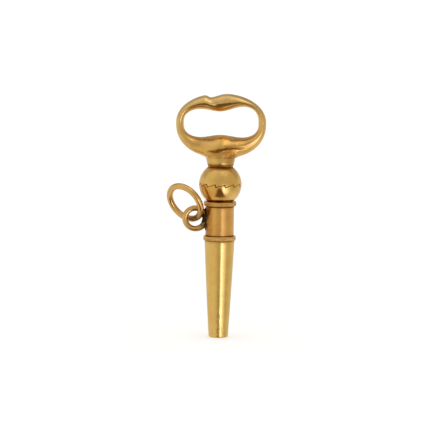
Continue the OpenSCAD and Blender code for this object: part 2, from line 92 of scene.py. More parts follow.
# Bow: depths, edges, and the crease over its foot
BOW_SIDE, BOW_BAR, BOW_NOSE, NOSE_RUN, BOW_WALL = 2.1, 3.0, 6.0, 3.4, 0.36
BLUNT, SWELLING, SWELLING_X, SWELLING_W, RIDGE_UP = 0.22, 0.15, 0.3, 1.3, 0.3
CREASE, CREASE_RISE, CREASE_DEPTH, CREASE_W = 1.42, 0.5, 0.13, 0.22
SPREAD, FILLET, FOOT_TURN = 0.35, 0.8, 30

SPRING_WIRE_R, SPRING_R, SPRING_TURNS = 0.1, 1.45, 4.5

# Gaps left where pieces are soldered, and where the halves of the bow meet
SOLDER, SEAM = 0.02, 0.002

# How uneven old metal is
UNEVEN = 0.004

# Steps of the meshes, round them and in rows up them
BARREL_STEPS, SLEEVE_STEPS, NECK_STEPS, BOW_STEPS, COIL_STEPS = 176, 160, 144, 480, 220
BARREL_ROWS, SLEEVE_ROWS, NECK_ROWS, BALL_ROWS, INSIDE_ROWS = 110, 40, 24, 40, 8
TIP_STEPS, EASE_STEPS = 8, 5
BEAD_STEPS, RIM_WIRE_STEPS = 8, 20
LOOP_STEPS, LOOP_WIRE_STEPS = 128, 24
RING_STEPS, RING_WIRE_STEPS = 180, 28
TOOTH_STEPS, CLIMB_STEPS = 24, 18
SPRING_WIRE_STEPS, FLOOR_STEPS = 14, 96

# Levels up the key
Z_LOW_COLLAR = BARREL_L
Z_SWIVEL = Z_LOW_COLLAR + COLLAR_H
Z_UP_COLLAR = Z_SWIVEL + SWIVEL_L
Z_BALL_FOOT = Z_UP_COLLAR + COLLAR_H
Z_BALL = Z_BALL_FOOT + math.sqrt(BALL_R**2 - BALL_FOOT_R**2)
Z_NECK = Z_BALL + math.sqrt(BALL_R**2 - (NECK_LOW_R - NECK_EDGE / 2) ** 2)
Z_FOOT = Z_NECK + NECK_H
Z_BOW = Z_FOOT + BOW_FOOT
Z_LOOP = Z_SWIVEL + LOOP_RISE

# Turn of the side that faces the camera
FRONT = -math.pi / 2


def spow(value, power):
    """Power that keeps the value's sign."""
    return math.copysign(abs(value) ** power, value)


def bell(value, width):
    """1 at 0, falling to about a third at the width."""
    return math.exp(-((value / width) ** 2))


def fade(value, low, high):
    """Smooth step from 0 at low to 1 at high."""
    s = min(1.0, max(0.0, (value - low) / (high - low)))
    return s * s * (3 - 2 * s)


def lumps(x, y, z, size):
    """Smooth noise of about -1 to 1 whose lumps are size millimetres across."""
    return noise.noise(Vector((x, y, z)) / size + Vector((17.3, 4.1, 9.7)))


def span(a, b, n):
    """Values from a to b in n equal steps."""
    return [a + (b - a) * i / n for i in range(n + 1)]


def quarter(n):
    """Turns of a quarter circle in n steps."""
    return [math.radians(a) for a in span(0, 90, n)]


def polar(r, u):
    """Point at the radius r and the turn u."""
    return r * math.cos(u), r * math.sin(u)


def apart(u, middle):
    """The turn from the middle to u, the short way round."""
    return math.remainder(u - middle, TAU)


def skin(name, *groups, sharp=38):
    """A mesh from groups of rings of points.

    A point is (x, y, z, grime and painted shade) in millimetres; the fourth value darkens the metal with
    grime and with painted shade in hollows, insides and between pieces.
    A fifth value makes the metal redder there; most such places are painted reflections of the gold around
    them. A group is (rings, closed): a closed group's last ring joins its first, and an open one is capped.
    """
    made = bmesh.new()
    grime_and_shade = made.verts.layers.float.new("grime_and_shade")
    warm = made.verts.layers.float.new("warm")
    for rings, closed in groups:
        rows = []
        for ring in rings:
            row = []
            for x, y, z, dirt_and_shade, *redder in ring:
                vert = made.verts.new((x * MM, y * MM, z * MM))
                vert[grime_and_shade] = dirt_and_shade
                vert[warm] = sum(redder)
                row.append(vert)
            rows.append(row)
        for i in range(len(rows) if closed else len(rows) - 1):
            a, b = rows[i], rows[(i + 1) % len(rows)]
            for j in range(len(a)):
                k = (j + 1) % len(a)
                made.faces.new((a[j], a[k], b[k], b[j]))
        if not closed:
            made.faces.new(rows[0])
            made.faces.new(rows[-1])
    bmesh.ops.recalc_face_normals(made, faces=made.faces)
    mesh = bpy.data.meshes.new(name)
    made.to_mesh(mesh)
    made.free()
    mesh.polygons.foreach_set("use_smooth", [True] * len(mesh.polygons))
    mesh.set_sharp_from_angle(angle=math.radians(sharp))
    piece = bpy.data.objects.new(name, mesh)
    bpy.context.scene.collection.objects.link(piece)
    return piece


def turned(section, steps, shape):
    """A closed group of rings: the section of points (r, z, grime and painted shade) turned about the axis.

    shape(u, r, z, grime and painted shade) changes each point at its turn u.
    """
    rings = []
    for i in range(steps):
        u = TAU * i / steps
        ring = []
        for point in section:
            r, z, dirt_and_shade = shape(u, *point)
            ring.append((*polar(r, u), z, dirt_and_shade))
        rings.append(ring)
    return rings, True


def place(piece, body, node, look):
    """Puts a finished piece on its body in place of its CAD node."""
    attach(piece, body)
    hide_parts(node)
    piece.data.materials.append(look)
    return piece


# Roughness of every noise, and a micrometre in metres for the fine relief
NOISE_ROUGH = 0.55
MICRON = 1e-6


class Tree:
    """Short names for building a node tree."""

    def __init__(self, tree):
        self.tree = tree
        tree.nodes.clear()

    def node(self, kind, **values):
        made = self.tree.nodes.new("ShaderNode" + kind)
        for key, value in values.items():
            setattr(made, key, value)
        return made

    def put(self, socket, value):
        if isinstance(value, bpy.types.NodeSocket):
            self.tree.links.new(value, socket)
        else:
            socket.default_value = value

    def math(self, operation, *values):
        made = self.node("Math", operation=operation)
        for socket, value in zip(made.inputs, values):
            self.put(socket, value)
        return made.outputs[0]

    def sum(self, *values):
        total = values[0]
        for value in values[1:]:
            total = self.math("ADD", total, value)
        return total

    def product(self, *values):
        total = values[0]
        for value in values[1:]:
            total = self.math("MULTIPLY", total, value)
        return total

    def step(self, value, low, high, start=0.0, end=1.0):
        """Smooth step from start at low to end at high."""
        made = self.node("MapRange", interpolation_type="SMOOTHSTEP")
        for socket, v in zip(made.inputs, (value, low, high, start, end)):
            self.put(socket, v)
        return made.outputs[0]

    def mix(self, factor, a, b):
        made = self.node("Mix", data_type="RGBA")
        self.put(made.inputs["Factor"], factor)
        self.put(made.inputs[6], a)
        self.put(made.inputs[7], b)
        return made.outputs[2]

    def fall(self, value, low, high):
        """Smooth step from 1 at low to 0 at high."""
        return self.step(value, low, high, 1.0, 0.0)

    def noise(self, vector, scale, detail):
        """Noise with about scale lumps in a metre."""
        made = self.node("TexNoise")
        self.put(made.inputs["Vector"], vector)
        made.inputs["Scale"].default_value = scale
        made.inputs["Detail"].default_value = detail
        made.inputs["Roughness"].default_value = NOISE_ROUGH
        return made.outputs["Fac"]

    def stretched(self, vector, scale, turn):
        made = self.node("Mapping")
        self.put(made.inputs["Vector"], vector)
        made.inputs["Scale"].default_value = scale
        made.inputs["Rotation"].default_value = [math.radians(t) for t in turn]
        return made.outputs["Vector"]


def rgb(*parts):
    return (*parts, 1.0)


# Colours of the gold where it is reddest, mostly painted reflections of gold; of the grime and painted shade
# on gold and on the chain; and of the grime on steel
WARM = (0.82, 0.39, 0.035)
GRIME_AND_SHADE, CHAIN_GRIME_AND_SHADE, STEEL_GRIME = (0.3, 0.115, 0.014), (0.04, 0.022, 0.01), (0.05, 0.035, 0.025)

# The old lacquer
COAT, COAT_ROUGH, COAT_IOR = 0.4, 0.16, 1.6


def hairlines(t, at, amount):
    """Broken hairline scratches that run in two directions."""
    lines = None
    for turn in ((18, 34, 0), (-31, 12, 63)):
        drawn = t.noise(t.stretched(at, (5200, 5200, 330), turn), 1.0, 1.0)
        line = t.fall(t.math("ABSOLUTE", t.math("SUBTRACT", drawn, 0.5)), 0.0, 0.012)
        lines = line if lines is None else t.math("MAXIMUM", lines, line)
    broken = t.step(t.noise(at, 650, 2.0), 0.5, 0.62)
    return t.product(lines, broken, amount)


def dirt_and_shade_share(t, at, mottle):
    """The mesh's grime and painted shade, broken up, with faint stains."""
    grime_and_shade = t.node("Attribute", attribute_name="grime_and_shade").outputs["Fac"]
    grime_and_shade = t.product(grime_and_shade, t.step(t.noise(at, 2600, 4.0), 0.18, 0.62, 0.55, 1.15))
    stain = t.product(t.step(t.noise(at, 420, 3.0), 0.5, 0.76), 0.2 * mottle)
    return t.math("MINIMUM", t.sum(grime_and_shade, stain), 1.0)


def warm_share(t, at):
    """The mesh's redder places, most of them painted reflections of gold, broken up."""
    warm = t.node("Attribute", attribute_name="warm").outputs["Fac"]
    warm = t.product(warm, t.step(t.noise(at, 700, 3.0), 0.25, 0.75, 0.7, 1.25))
    return t.math("MINIMUM", warm, 1.0)


def relief(t, at, lines, grime_and_shade, grain, turn_marks):
    """Height of the fine grain, the scratches, the sunken grime and painted shade, and the marks of turning.
    """
    height = t.sum(
        t.product(t.noise(at, 5200, 2.0), grain * MICRON),
        t.product(t.noise(at, 950, 2.0), grain * 2.2 * MICRON),
        t.product(lines, -1.2 * MICRON),
        t.product(grime_and_shade, -4 * MICRON),
    )
    if turn_marks:
        wave = t.node("TexWave", wave_type="BANDS", bands_direction="Z")
        t.put(wave.inputs["Vector"], at)
        wave.inputs["Scale"].default_value = 2300
        wave.inputs["Distortion"].default_value = 0.6
        height = t.sum(height, t.product(wave.outputs["Fac"], turn_marks * MICRON))
    bump = t.node("Bump")
    bump.inputs["Strength"].default_value = 1.0
    bump.inputs["Distance"].default_value = 1.0
    t.put(bump.inputs["Height"], height)
    return bump.outputs["Normal"]


def metal(name, light, deep, rough, grain, mottle, scratch, turn_marks=0.0, dirt_and_shade=GRIME_AND_SHADE):
    """Worn metal with a thin old lacquer.

    Two tones lie in blotches, as strong as mottle. The roughness varies between the two of rough. grain
    and turn_marks are heights in micrometres. scratch is the strength of the hairlines.
    """
    look = bpy.data.materials.new(name)
    look.use_nodes = True
    t = Tree(look.node_tree)
    at = t.node("TexCoord").outputs["Object"]
    lines = hairlines(t, at, scratch)
    grime_and_shade = dirt_and_shade_share(t, at, mottle)
    blotch = t.product(t.step(t.noise(at, 520, 4.0), 0.36, 0.66), mottle)
    fleck = t.product(t.step(t.noise(at, 3800, 3.0), 0.4, 0.75), 0.22 * mottle)
    colour = t.mix(t.sum(blotch, fleck), rgb(*light), rgb(*deep))
    # Redder places, most of them painted reflections of gold
    colour = t.mix(warm_share(t, at), colour, rgb(*WARM))
    colour = t.mix(t.product(lines, 0.25), colour, rgb(*[0.6 * c for c in deep]))
    # The mesh's grime and painted shade take the given dark colour, roughen the metal, thin the lacquer and
    # sink the surface a little
    colour = t.mix(grime_and_shade, colour, rgb(*dirt_and_shade))
    spread = t.product(t.step(t.noise(at, 1100, 3.0), 0.3, 0.72), rough[1] - rough[0])
    surface = t.node("BsdfPrincipled")
    surface.inputs["Metallic"].default_value = 1.0
    t.put(surface.inputs["Base Color"], colour)
    worn = t.sum(rough[0], spread, t.product(grime_and_shade, 0.3), t.product(lines, 0.12))
    t.put(surface.inputs["Roughness"], worn)
    t.put(surface.inputs["Normal"], relief(t, at, lines, grime_and_shade, grain, turn_marks))
    t.put(surface.inputs["Coat Weight"], t.math("MULTIPLY_ADD", grime_and_shade, -COAT, COAT))
    surface.inputs["Coat Roughness"].default_value = COAT_ROUGH
    surface.inputs["Coat IOR"].default_value = COAT_IOR
    t.put(t.node("OutputMaterial").inputs["Surface"], surface.outputs["BSDF"])
    return look


BOW_GOLD = metal(
    "bow_gold", (0.83, 0.545, 0.17), (0.73, 0.42, 0.11), (0.13, 0.24), grain=2.0, mottle=0.6, scratch=0.7
)
NECK_GOLD = metal(
    "neck_gold", (0.82, 0.515, 0.12), (0.74, 0.42, 0.095), (0.14, 0.24), grain=4.0, mottle=0.6, scratch=0.4
)
CROWN_GOLD = metal(
    "crown_gold", (0.84, 0.53, 0.135), (0.755, 0.43, 0.095), (0.22, 0.34), grain=2.2, mottle=0.7, scratch=0.6
)
BALL_GOLD = metal(
    "ball_gold", (0.84, 0.53, 0.135), (0.765, 0.44, 0.105), (0.1, 0.2), grain=2.2, mottle=0.7, scratch=0.6
)
COLLAR_GOLD = metal(
    "collar_gold", (0.82, 0.47, 0.11), (0.7, 0.36, 0.08), (0.09, 0.17), grain=1.0, mottle=0.5, scratch=0.2
)
SLEEVE_GOLD = metal(
    "sleeve_gold", (0.815, 0.43, 0.09), (0.71, 0.34, 0.065), (0.15, 0.24), grain=1.6, mottle=0.55, scratch=0.5
)
BARREL_GOLD = metal(
    "barrel_gold", (0.86, 0.56, 0.145), (0.795, 0.475, 0.105), (0.12, 0.2), grain=3.6, mottle=0.6, scratch=0.6
)
CHAIN_GOLD = metal(
    "chain_gold", (0.805, 0.485, 0.145), (0.7, 0.38, 0.095), (0.15, 0.26),
    grain=1.6, mottle=0.6, scratch=0.5, dirt_and_shade=CHAIN_GRIME_AND_SHADE,
)
INNER_BRASS = metal(
    "inner_brass", (0.72, 0.47, 0.15), (0.6, 0.36, 0.1), (0.25, 0.38),
    grain=1.5, mottle=0.6, scratch=0.2, turn_marks=1.2,
)
STEEL = metal(
    "steel", (0.46, 0.46, 0.48), (0.33, 0.33, 0.35), (0.26, 0.42),
    grain=1.5, mottle=0.7, scratch=0.3, turn_marks=1.2, dirt_and_shade=STEEL_GRIME,
)


def barrel_r(z):
    """Radius of the barrel's outside at the level z."""
    share = z / BARREL_L
    taper = (BARREL_TOP_R - BARREL_TIP_R) * share
    return BARREL_TIP_R + taper + BARREL_SWELL * 4 * share * (1 - share)


def make_barrel():
    """Tapered sheath with a rounded tip, small knocks near the tip, and grime and painted shade under the
    collar.
    """
    # The inside and the inner edge of the tip are darkened as painted shade
    section = [
        (BARREL_TIP_R - BARREL_WALL, 0.02, 0.5),
        (BARREL_TIP_R - TIP_ROUND - 0.04, 0.0, 0.2),
    ]
    section += [
        (BARREL_TIP_R - TIP_ROUND * (1 - math.sin(a)), TIP_ROUND * (1 - math.cos(a)), 0.05)
        for a in quarter(TIP_STEPS)
    ]
    section += [
        (barrel_r(z), z, 0.75 * math.exp((z - BARREL_L) / 0.16))
        for z in span(0.45, BARREL_L - 0.08, BARREL_ROWS)
    ]
    section += [(BARREL_TOP_R - 0.03, BARREL_L - 0.02, 0.9), (BARREL_TOP_R - 0.1, BARREL_L, 1.0)]
    section += [(barrel_r(z) - BARREL_WALL, z, 0.3) for z in span(BARREL_L, TIP_ROUND, INSIDE_ROWS)]

    def knocks(u, r, z, dirt_and_shade):
        if r < barrel_r(z) - BARREL_WALL / 2:
            return r, z, dirt_and_shade
        x, y = polar(r, u)

        def knock(depth, run, size, start):
            """Knocks that are deepest just above the tip and die out over the run."""
            return depth * math.exp(-z / run) * lumps(x, y, z, size) * fade(z, 0.0, start)

        coarse = knock(depth=0.021, run=4.5, size=0.5, start=0.4)
        fine = knock(depth=0.032, run=2.4, size=0.3, start=0.3)
        return r + (UNEVEN * lumps(x, y, z * 0.6, 1.5) + coarse + fine), z, dirt_and_shade

    return skin("barrel", turned(section, BARREL_STEPS, knocks))


def make_rim(name, z_mid, painted_shade):
    """Milled rim: a narrow plain lip on top and beads that stand out along the lower edge."""
    wire = RIM_DEPTH / 2
    mid = COLLAR_R - wire
    half = COLLAR_H / 2
    square = 0.8
    rings = []
    for i in range(RIM_BEADS * BEAD_STEPS):
        u = TAU * i / (RIM_BEADS * BEAD_STEPS)
        bead = abs(math.sin(u * RIM_BEADS / 2)) ** 0.75
        ring = []
        for j in range(RIM_WIRE_STEPS):
            v = TAU * j / RIM_WIRE_STEPS
            c, s = spow(math.cos(v), square), spow(math.sin(v), square)
            low = fade(-s, -0.75, 0.1)
            cut = (0.05 + 0.32 * low) * (1 - bead)
            r = mid + (wire * (1 - 0.9 * cut) * c if c > 0 else (wire - SOLDER) * c)
            z = z_mid + (half - 0.01) * (1 - 0.5 * cut) * s
            # Grime and painted shade in the grooves between the beads; painted shade on the side against the
            # sleeve, along the top and bottom edges, and, by the last argument, over the whole rim as a
            # painted darker reflection
            groove = 0.8 * low * (1 - bead) ** 1.5 if c > -0.2 else 0.6
            dirt_and_shade = groove + 0.15 * fade(abs(s), 0.86, 1.0) + painted_shade
            ring.append((*polar(r, u), z, min(1.0, dirt_and_shade)))
        rings.append(ring)
    return skin(name, (rings, True), sharp=60)


def make_sleeve():
    """Swivel sleeve with eased edges, painted shade at both ends and inside, grime and painted shade round
    the loop's foot, and painted shade down its left side.
    """
    low, high, ease = Z_SWIVEL + END_GAP, Z_SWIVEL + SWIVEL_L - END_GAP, SLEEVE_EASE
    # The eased ends and the inside are darkened as painted shade
    ends = 0.8
    section = [(SLEEVE_R - SLEEVE_WALL, low, ends)]
    section += [
        (SLEEVE_R - ease * (1 - math.sin(a)), low + ease * (1 - math.cos(a)), ends)
        for a in quarter(EASE_STEPS)
    ]
    section += [(SLEEVE_R, z, 0.0) for z in span(low + 0.2, high - 0.2, SLEEVE_ROWS)]
    section += [
        (SLEEVE_R - ease * (1 - math.cos(a)), high - ease * (1 - math.sin(a)), ends)
        for a in quarter(EASE_STEPS)
    ]
    section += [(SLEEVE_R - SLEEVE_WALL, high, ends)]

    def darkened(u, r, z, dirt_and_shade):
        x, y = polar(r, u)
        # Painted shade near the collars; grime and painted shade round the loop's foot; painted shade down
        # the whole left side
        near_end = 0.5 * math.exp(-min(z - low, high - z) / 0.24)
        turn = abs(apart(u, math.pi))
        foot = bell(turn, 0.42 + 0.1 * lumps(x, y, z, 0.9)) * bell(z - Z_LOOP, 2.4)
        foot = max(foot, 0.5 * (1 - fade(turn, 0.8, 1.2)))
        depth = UNEVEN * lumps(x, y, z, 1.4) if r > SLEEVE_R - 0.02 else 0.0
        return r + depth, z, min(1.0, max(dirt_and_shade, near_end, 1.05 * foot))

    return skin("sleeve", turned(section, SLEEVE_STEPS, darkened))


def solder_pad():
    """Rings of the dark solder that runs along the sleeve behind the loop."""
    rows, columns = 20, 16
    pad = []
    for i in range(2 * rows + 1):
        up = i / rows - 1
        z = Z_LOOP + SOLDER_H / 2 * up
        end = 1 - up**2
        width = 0.16 + 0.26 * end
        ring = []
        for j in range(2 * columns + 1):
            s = j / columns - 1
            lump = 0.75 + 0.5 * lumps(2 * s, 0.0, z, 0.5)
            thick = SOLDER_THICK * (1 - s * s) * end**0.6 * lump
            r = SLEEVE_R + PAD_EDGE + max(0.0, thick)
            ring.append((*polar(r, math.pi + width * s), z, 0.95))
        for j in range(2 * columns, -1, -1):
            u = math.pi + width * (j / columns - 1)
            ring.append((*polar(SLEEVE_R + PAD_CLEAR, u), z, 1.0))
        pad.append(ring)
    return pad


def make_loop():
    """Wire loop with a swollen soldered foot, which is kept just clear of the sleeve."""
    clear = SLEEVE_R + LOOP_CLEAR
    rings = []
    for i in range(LOOP_STEPS):
        a = TAU * i / LOOP_STEPS
        foot = bell(apart(a, 0.0), 0.9)
        ring = []
        for j in range(LOOP_WIRE_STEPS):
            b = TAU * j / LOOP_WIRE_STEPS
            rough = lumps(3 * math.cos(a), 3 * math.sin(a), 2 * b, 0.8)
            swell = 0.35 * foot * (1 + 0.5 * rough) * max(abs(math.sin(b)), -0.8 * math.cos(b))
            wire = LOOP_WIRE_R * (1 + swell + 0.015 * rough)
            across, up = polar(LOOP_R + wire * math.cos(b), a)
            x, y, z = across - LOOP_REACH, wire * math.sin(b), Z_LOOP + up
            out = math.hypot(x, y)
            if x > -SLEEVE_R - 0.2 and out < clear:
                x, y = x * clear / out, y * clear / out
            # The foot is darkened with solder grime and painted shade
            ring.append((x, y, z, min(1.0, 1.5 * foot * (0.8 + 0.3 * rough))))
        rings.append(ring)
    return skin("loop", (rings, True), (solder_pad(), False), sharp=70)


def make_ring():
    """Free chain ring of round wire, slightly worn where it hangs in the loop."""
    lean = (
        Matrix.Translation((-LOOP_REACH, 0, Z_LOOP))
        @ Matrix.Rotation(math.radians(-RING_LEAN), 4, "Y")
        @ Matrix.Translation((0, RING_DEPTH, -RING_OFFSET))
        @ Matrix.Rotation(math.radians(-RING_TURN), 4, "X")
        @ Matrix.Translation((RING_R, 0, 0))
        @ Matrix.Rotation(math.radians(90), 4, "X")
    )
    rings = []
    for i in range(RING_STEPS):
        a = TAU * i / RING_STEPS
        worn = bell(apart(a, math.pi), 0.5)
        ring = []
        for j in range(RING_WIRE_STEPS):
            b = TAU * j / RING_WIRE_STEPS
            wire = RING_WIRE_R * (1 - 0.03 * worn * fade(-math.cos(b), 0.2, 1.0))
            wire += UNEVEN * lumps(*polar(2 * RING_R, a), b, 1.3)
            p = lean @ Vector((*polar(RING_R + wire * math.cos(b), a), wire * math.sin(b)))
            # Grime and painted shade darken it where it hangs in the loop
            ring.append((*p, 0.8 * worn * (0.7 + 0.6 * lumps(*p, 0.5))))
        rings.append(ring)
    return skin("ring", (rings, True))


def seam(k, shift):
    """Angle, level and steepness of the seam's k-th point.

    The points climb each tooth's gentle side and then drop down its steep one, which shift moves round.
    """
    tooth, step = divmod(k, TOOTH_STEPS)
    pitch = TAU / TEETH
    climb = pitch * (1 - TOOTH_FALL)
    if step <= CLIMB_STEPS:
        level = step / CLIMB_STEPS
        steep = fade(level, 0.86, 1.0) + 1 - fade(level, 0.0, 0.14)
        angle = climb * level + shift * steep
    else:
        share = (step - CLIMB_STEPS) / (TOOTH_STEPS - CLIMB_STEPS)
        angle = climb + (pitch - climb) * share + shift
        level, steep = 1 - share, 1.0
    start = math.radians(SEAM_START) + pitch * tooth
    return start + angle, Z_BALL + TOOTH_H * (level - 0.5), steep


def ball_r(z, radius=BALL_R):
    """Radius of the ball, or of the hollow in it, at the level z from its centre.

    The other way round it is the level at which that radius is z.
    """
    return math.sqrt(max(0.0, radius**2 - z * z))


def ball_profile(u, edge, steep, upper):
    """Section (r, z, grime and painted shade) of half the ball at the turn u, from the seam's edge round to
    it inside.
    """
    side = 1 if upper else -1
    inner = BALL_R - BALL_WALL
    bore = NECK_BORE_R if upper else STEM_BORE_R
    top = (Z_NECK if upper else Z_BALL_FOOT + SOLDER) - Z_BALL
    start = edge + side * SEAM_EASE
    eased = ((0.0, 0.075, 1.0), (0.004, 0.035, 1.0), (0.02, 0.01, 0.85), (SEAM_EASE, 0.0, 0.3))
    profile = []
    for drop, inset, dirt_and_shade in eased:
        z = edge + side * drop
        profile.append((ball_r(z) - inset, z, dirt_and_shade * (0.45 + 0.55 * steep)))
    for share in span(0, 1, BALL_ROWS)[1:]:
        z = start + (top - start) * math.sin(share * math.pi / 2)
        # Grime and painted shade where the ball meets the neck or the collar, and a brown stain on the upper
        # half's front right near the neck; on the lower half, a painted reflection of the ring and loop at
        # the lower left and a painted dark reflection on the front just above the collar
        dirt_and_shade = 0.3 * math.exp(-abs(z - start) / 0.04) + 0.85 * bell(z - top, 0.22 if upper else 0.16)
        if upper:
            dirt_and_shade += 0.4 * bell(apart(u, -1.2), 0.4) * bell(z - top, 0.9)
        else:
            dirt_and_shade += 0.28 * bell(apart(u, -2.4), 0.55) * bell(z + 1.6, 1.1)
            dirt_and_shade += 0.6 * bell(apart(u, FRONT), 0.3) * bell(z - top, 0.4)
        profile.append((ball_r(z), z, min(1.0, dirt_and_shade)))
    # The bore and the inside are darkened as painted shade
    roof = ball_r(bore, inner) if upper else top + BALL_WALL
    profile.append((max(bore, profile[-1][0] - 0.1), top, 1.0))
    profile += [(bore, top, 1.0), (bore, roof, 1.0)]
    if not upper:
        profile.append((ball_r(roof, inner), roof, 1.0))
    return profile + [(ball_r(z, inner), z, 1.0) for z in span(roof, edge, INSIDE_ROWS)[1:]]


def make_ball(name, upper):
    """Half of the ratchet ball: a polished shell with saw teeth along its rim.

    The steep sides of the two halves stand a little further apart than the ramps.
    """
    side = 1 if upper else -1
    rings = []
    for k in range(TEETH * TOOTH_STEPS):
        u, level, steep = seam(k, math.radians(SEAM_SHIFT) * side)
        edge = level + side * SEAM_GAP / 2 * (0.6 + 0.4 * steep) - Z_BALL
        # Redder places: on the lower half a painted reflection of the ring and loop at the lower left, on the
        # upper half the front right
        redder = 0.35 * bell(apart(u, -0.8), 0.5) if upper else 0.6 * bell(apart(u, -2.3), 0.6)
        ring = []
        for r, z, dirt_and_shade in ball_profile(u, edge, steep, upper):
            if r > BALL_R - BALL_WALL / 2 and abs(z - edge) > SEAM_PLAIN:
                r += 0.003 * lumps(*polar(r, u), z, 1.1)
            ring.append((*polar(r, u), Z_BALL + z, dirt_and_shade, redder))
        rings.append(ring)
    return skin(name, (rings, True), sharp=45)


def neck_front(share):
    """Half depth of the neck at a share of its height.

    It is rounded over the groove and leans back a little above NECK_BREAK.
    """
    drop = max(0.0, NECK_BREAK - share) * (Z_FOOT - Z_NECK)
    rounded = NECK_ROUND - math.sqrt(NECK_ROUND**2 - drop**2)
    return NECK_FRONT - rounded - NECK_LEAN * max(0.0, share - NECK_BREAK)


def make_neck():
    """Short neck that flares into the bow's foot, with a turned groove darkened by grime and painted shade
    where it stands on the ball, and painted shade on its front right and back left.
    """
    low, high = Z_NECK + 2 * NECK_EDGE, Z_FOOT - 0.004
    # The bottom, the bore and the inner top edge are darkened as painted shade
    section = [
        (NECK_BORE_R, Z_NECK + SOLDER, 1.0),
        (NECK_LOW_R - NECK_EDGE / 2, Z_NECK + SOLDER, 1.0),
        (NECK_LOW_R - 0.02, Z_NECK + NECK_EDGE, 0.9),
    ]
    for share in span(0, 1, NECK_ROWS):
        z = low + share * (high - low)
        dirt_and_shade = 0.95 * bell(z - low - 0.2, 0.3)
        section.append((NECK_LOW_R + (NECK_TOP_R - NECK_LOW_R) * share * (3 - share) / 2, z, dirt_and_shade))
    section += [(NECK_BORE_R, high, 1.0)]

    def uneven(u, r, z, dirt_and_shade):
        if r < NECK_LOW_R - NECK_EDGE:
            return r, z, dirt_and_shade
        front = neck_front((z - Z_NECK) / (Z_FOOT - Z_NECK))
        r *= front / math.hypot(front * math.cos(u), r * math.sin(u))
        # Painted shade on the front right and the back left
        dirt_and_shade = max(dirt_and_shade, 0.35 * fade(-math.sin(u) * math.cos(u), 0.1, 0.5))
        return r + 0.006 * lumps(*polar(r, u), z, 1.2), z, dirt_and_shade

    return skin("neck_turned", turned(section, NECK_STEPS, uneven))


def bow_edge(x):
    """Level of the bow's lower outline below its centre, which flares into the neck."""
    c = min(1.0, abs(2 * x / BOW_W)) ** (1 / BOW_DOWN_END)
    flare = FLARE * min(1.0, math.exp((NECK_TOP_R - abs(x)) / FLARE_RUN))
    down = BOW_DOWN * (1 + BOW_SKEW * x / NOSE_RUN) * (1 - c * c) ** (BOW_DOWN_END / 2)
    return max(-down - flare, -BOW_FOOT)


def bow_outline(t):
    """Outer and inner point of the bow at the turn t, seen from the front, from the bow's centre."""
    c, s = math.cos(t), math.sin(t)
    if s > 0:
        x = BOW_W / 2 * spow(c, BOW_UP_END)
        dip = DIP * bell(x - DIP_X, DIP_LEFT if x < DIP_X else DIP_RIGHT)
        outer = Vector((x, BOW_UP * s**BOW_UP_END - dip))
        x = GAP_W / 2 * spow(c, GAP_UP_END)
        rise = GAP_UP * (1 + GAP_TILT * 2 * x / GAP_W)
        inner = Vector((x, rise * s**GAP_UP_END - PINCH_UP * bell(x, PINCH_W)))
    else:
        x = BOW_W / 2 * spow(c, BOW_DOWN_END)
        outer = Vector((x, bow_edge(x)))
        x = GAP_W / 2 * spow(c, GAP_DOWN_END)
        inner = Vector((x, -GAP_DOWN * abs(s) ** GAP_DOWN_END + PINCH_DOWN * bell(x, PINCH_W)))
    return outer, inner


def footed(deep, x, rise, shelf):
    """Depth of the bow over its round foot, with a fillet that dies out towards the crease.

    The shelf is the share by which the bow hangs over the foot there.
    """
    reach = (NECK_TOP_R + 0.1 * rise) * (1 + SPREAD * fade(rise, 0.15, 1.0))
    foot = neck_front(1.0) * math.sqrt(max(0.0, 1 - (x / reach) ** 2))
    fillet = min(0.1 + FILLET * (1 - fade(rise, 0.5, 1.5)), 0.02 + 0.7 * (deep + foot))
    near = max(0.0, 1 - abs(deep - foot) / fillet)
    joined = max(deep, foot) + fillet * near * near / 4
    return joined - shelf * (joined - foot)


def bar_shade_and_glow(a, across, bar):
    """Darkening and redness of the bottom bar: painted brown shade along the inner lip, a painted reddish
    reflection glowing in it, darker patches on both halves, and a redder face.
    """
    lip = fade(-a, 0.9, 1.3)
    glow = bell(across - 0.35, 1.0) * lip
    left = 0.3 * bell(-across - 4.2, 1.4) * bell(a + 0.6, 0.8)
    right = 0.3 * bar * fade(across, 0.5, 2.5) * (1 - fade(across, 5.0, 6.5)) * bell(a + 0.2, 0.8)
    dirt_and_shade = max(left, 0.25 * lip * bar - 0.5 * glow, right)
    return dirt_and_shade, max(0.4 * bar * (1 - lip), 0.9 * glow)


